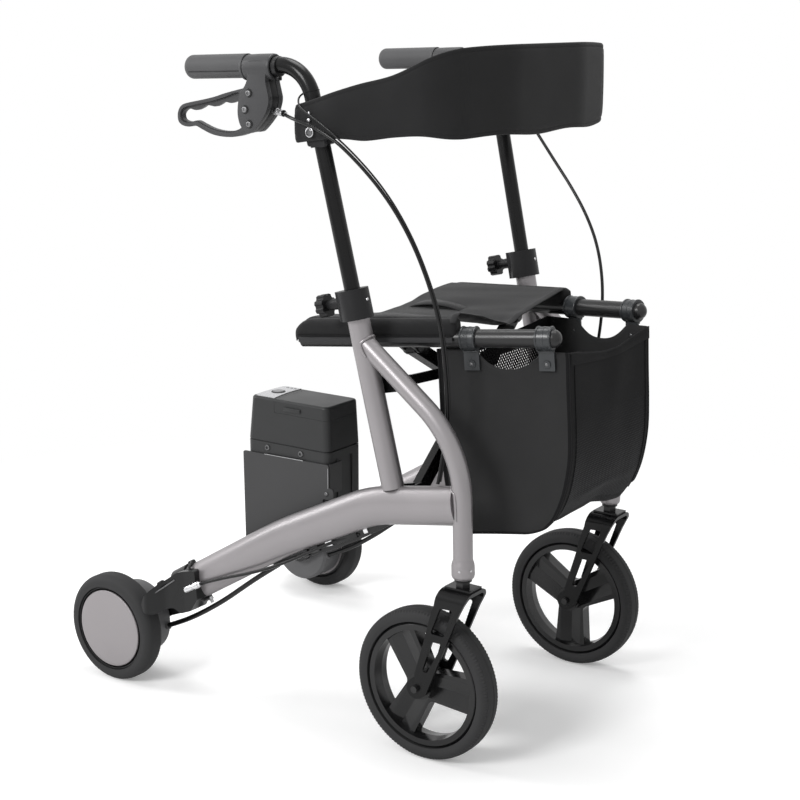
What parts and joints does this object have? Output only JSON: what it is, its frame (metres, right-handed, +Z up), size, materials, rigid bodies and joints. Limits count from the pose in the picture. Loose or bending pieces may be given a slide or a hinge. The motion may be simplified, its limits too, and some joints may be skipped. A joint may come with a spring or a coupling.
{
  "type": "rollator walker",
  "caption": "Folding four-wheeled walker with seat, bag, padded backrest, hand brakes, swivelling front casters and motor-assisted rear wheels.",
  "frame": {"origin": "on the floor, in the middle of the length and between the two side frames", "axes": "+X forward, the way it rolls; +Y to the left of the person who pushes it; +Z up"},
  "size_m": [0.8066, 0.558, 0.9805],
  "materials": {
    "silver_frame": "satin metallic paint",
    "black_metal": "black satin",
    "black_steel": "black satin",
    "black_plastic": "fine grain",
    "box_plastic": "smooth matte",
    "grip_rubber": "matte",
    "tyre_rubber": "matte",
    "motor_case": "black",
    "wheel_disc": "satin metallic paint",
    "bright_steel": "zinc plated",
    "cloth": "woven polyester",
    "cable": "smooth",
    "button": "satin"
  },
  "bodies": {
    "frame_right": {"side_frame_right": "silver_frame", "fold_bracket_right": "black_steel", "height_collar_right": "black_plastic", "rear_bracket_right": "black_metal", "hub_motor_right": "motor_case", "rear_brake_cable_right": "cable", "motor_cable_right": "cable", "power_box": "box_plastic", "battery_lid": "box_plastic", "box_bracket": "black_steel"},
    "handlebar_right": {"handle_tube_right": "black_metal", "grip_right": "grip_rubber", "brake_housing_right": "black_plastic", "backrest_clamp_right": "black_plastic", "brake_cable_right": "cable", "backrest_band": "cloth"},
    "lever_right": {"brake_lever_right": "black_plastic"},
    "knob_right": {"clamp_knob_right": "black_plastic"},
    "caster_fork_right": {"caster_fork_right": "black_steel", "caster_bolts_right": "bright_steel"},
    "caster_wheel_right": {"caster_wheel_right": "black_plastic", "caster_tyre_right": "tyre_rubber"},
    "rear_wheel_right": {"rear_wheel_right": "wheel_disc", "rear_tyre_right": "tyre_rubber"},
    "stay_right": {"fold_stay_right": "black_metal"},
    "rail_right": {"seat_rail_right": "black_metal", "rail_clips_right": "black_plastic", "seat_sleeve_right": "cloth", "bag_side_right": "cloth", "seat_sling": "cloth", "bag_body": "cloth"},
    "frame_left": {"side_frame_left": "silver_frame", "fold_bracket_left": "black_steel", "height_collar_left": "black_plastic", "rear_bracket_left": "black_metal", "hub_motor_left": "motor_case", "rear_brake_cable_left": "cable", "motor_cable_left": "cable"},
    "handlebar_left": {"handle_tube_left": "black_metal", "grip_left": "grip_rubber", "brake_housing_left": "black_plastic", "backrest_clamp_left": "black_plastic", "brake_cable_left": "cable"},
    "lever_left": {"brake_lever_left": "black_plastic"},
    "knob_left": {"clamp_knob_left": "black_plastic"},
    "caster_fork_left": {"caster_fork_left": "black_steel", "caster_bolts_left": "bright_steel"},
    "caster_wheel_left": {"caster_wheel_left": "black_plastic", "caster_tyre_left": "tyre_rubber"},
    "rear_wheel_left": {"rear_wheel_left": "wheel_disc", "rear_tyre_left": "tyre_rubber"},
    "stay_left": {"fold_stay_left": "black_metal"},
    "rail_left": {"seat_rail_left": "black_metal", "rail_clips_left": "black_plastic", "seat_sleeve_left": "cloth", "bag_side_left": "cloth"},
    "power_button": {"power_button": "button"},
    "arm_rear": {"cross_arm_rear": "black_metal", "cross_bolt": "bright_steel"},
    "arm_front": {"cross_arm_front": "black_metal"}
  },
  "joints": [
    {"name": "fold", "type": "hinge", "parent": "frame_right", "child": "arm_rear", "pos_m": [0.19769, -0.17, 0.37434], "axis": [0.9751, 0, 0.2215], "range_deg": [0, 36], "deforming": ["seat_sling", "bag_body", "backrest_band"]},
    {"name": "cross_pivot", "type": "hinge", "parent": "arm_rear", "child": "arm_front", "pos_m": [0.18155, 0, 0.47919], "axis": [0.9751, 0, 0.2215], "range_deg": [-72, 0], "deforming": ["seat_sling", "bag_body", "backrest_band"]},
    {"name": "frame_left_pivot", "type": "hinge", "parent": "arm_front", "child": "frame_left", "pos_m": [0.21231, 0.17, 0.37766], "axis": [0.9751, 0, 0.2215], "range_deg": [0, 36], "deforming": ["seat_sling", "bag_body", "backrest_band"]},
    {"name": "rail_right_pivot", "type": "hinge", "parent": "arm_front", "child": "rail_right", "pos_m": [0.16915, -0.143, 0.56766], "axis": [0.9751, 0, 0.2215], "range_deg": [0, 36], "deforming": ["seat_sling", "bag_body", "backrest_band"]},
    {"name": "rail_left_pivot", "type": "hinge", "parent": "arm_rear", "child": "rail_left", "pos_m": [0.15452, 0.143, 0.56434], "axis": [0.9751, 0, 0.2215], "range_deg": [-36, 0], "deforming": ["seat_sling", "bag_body", "backrest_band"]},
    {"name": "stay_right_pivot", "type": "hinge", "parent": "frame_right", "child": "stay_right", "pos_m": [0.18971, -0.1905, 0.53132], "axis": [0.9751, 0, 0.2215], "range_deg": [0, 58.32]},
    {"name": "stay_left_pivot", "type": "hinge", "parent": "frame_left", "child": "stay_left", "pos_m": [0.15168, 0.1905, 0.52268], "axis": [0.9751, 0, 0.2215], "range_deg": [-58.32, 0]},
    {"name": "height_right", "type": "slide", "parent": "frame_right", "child": "handlebar_right", "axis": [-0.2215, -0.0306, 0.9747], "range_m": [-0.075, 0.075], "deforming": ["backrest_band", "brake_cable_right"]},
    {"name": "height_left", "type": "slide", "parent": "frame_left", "child": "handlebar_left", "axis": [-0.2215, 0.0306, 0.9747], "range_m": [-0.075, 0.075], "deforming": ["backrest_band", "brake_cable_left"]},
    {"name": "brake_right", "type": "hinge", "parent": "handlebar_right", "child": "lever_right", "pos_m": [-0.033, -0.22927, 0.9132], "axis": [0, 0.9995, 0.0314], "range_deg": [-8, 10], "stiffness_Nm_per_rad": 6},
    {"name": "knob_right_turn", "type": "hinge", "parent": "frame_right", "child": "knob_right", "pos_m": [0.12612, -0.22066, 0.63912], "axis": [0.9751, -0.007, 0.2214], "continuous": true},
    {"name": "caster_right_swivel", "type": "hinge", "parent": "frame_right", "child": "caster_fork_right", "pos_m": [0.2975, -0.20925, 0.2], "axis": [0, 0, 1], "continuous": true},
    {"name": "caster_right_roll", "type": "hinge", "parent": "caster_fork_right", "child": "caster_wheel_right", "pos_m": [0.239, -0.20925, 0.11], "axis": [0, 1, 0], "continuous": true},
    {"name": "rear_right_roll", "type": "hinge", "parent": "frame_right", "child": "rear_wheel_right", "pos_m": [-0.314, -0.26, 0.085], "axis": [0, 1, 0], "continuous": true},
    {"name": "brake_left", "type": "hinge", "parent": "handlebar_left", "child": "lever_left", "pos_m": [-0.033, 0.22927, 0.9132], "axis": [0, 0.9995, -0.0314], "range_deg": [-8, 10], "stiffness_Nm_per_rad": 6},
    {"name": "knob_left_turn", "type": "hinge", "parent": "frame_left", "child": "knob_left", "pos_m": [0.12612, 0.22066, 0.63912], "axis": [0.9751, 0.007, 0.2214], "continuous": true},
    {"name": "caster_left_swivel", "type": "hinge", "parent": "frame_left", "child": "caster_fork_left", "pos_m": [0.2975, 0.20925, 0.2], "axis": [0, 0, 1], "continuous": true},
    {"name": "caster_left_roll", "type": "hinge", "parent": "caster_fork_left", "child": "caster_wheel_left", "pos_m": [0.239, 0.20925, 0.11], "axis": [0, 1, 0], "continuous": true},
    {"name": "rear_left_roll", "type": "hinge", "parent": "frame_left", "child": "rear_wheel_left", "pos_m": [-0.314, 0.26, 0.085], "axis": [0, 1, 0], "continuous": true},
    {"name": "power_button_press", "type": "slide", "parent": "frame_right", "child": "power_button", "axis": [0, 0, 1], "range_m": [-0.0015, 0], "stiffness_N_per_m": 400}
  ],
  "couplings": [
    {"joint": "cross_pivot", "follows": "fold", "ratio": -2},
    {"joint": "frame_left_pivot", "follows": "fold", "ratio": 1},
    {"joint": "rail_right_pivot", "follows": "fold", "ratio": 1},
    {"joint": "rail_left_pivot", "follows": "fold", "ratio": -1},
    {"joint": "stay_right_pivot", "follows": "fold", "ratio": 1.62},
    {"joint": "stay_left_pivot", "follows": "fold", "ratio": -1.62},
    {"joint": "height_left", "follows": "height_right", "ratio": 1}
  ]
}
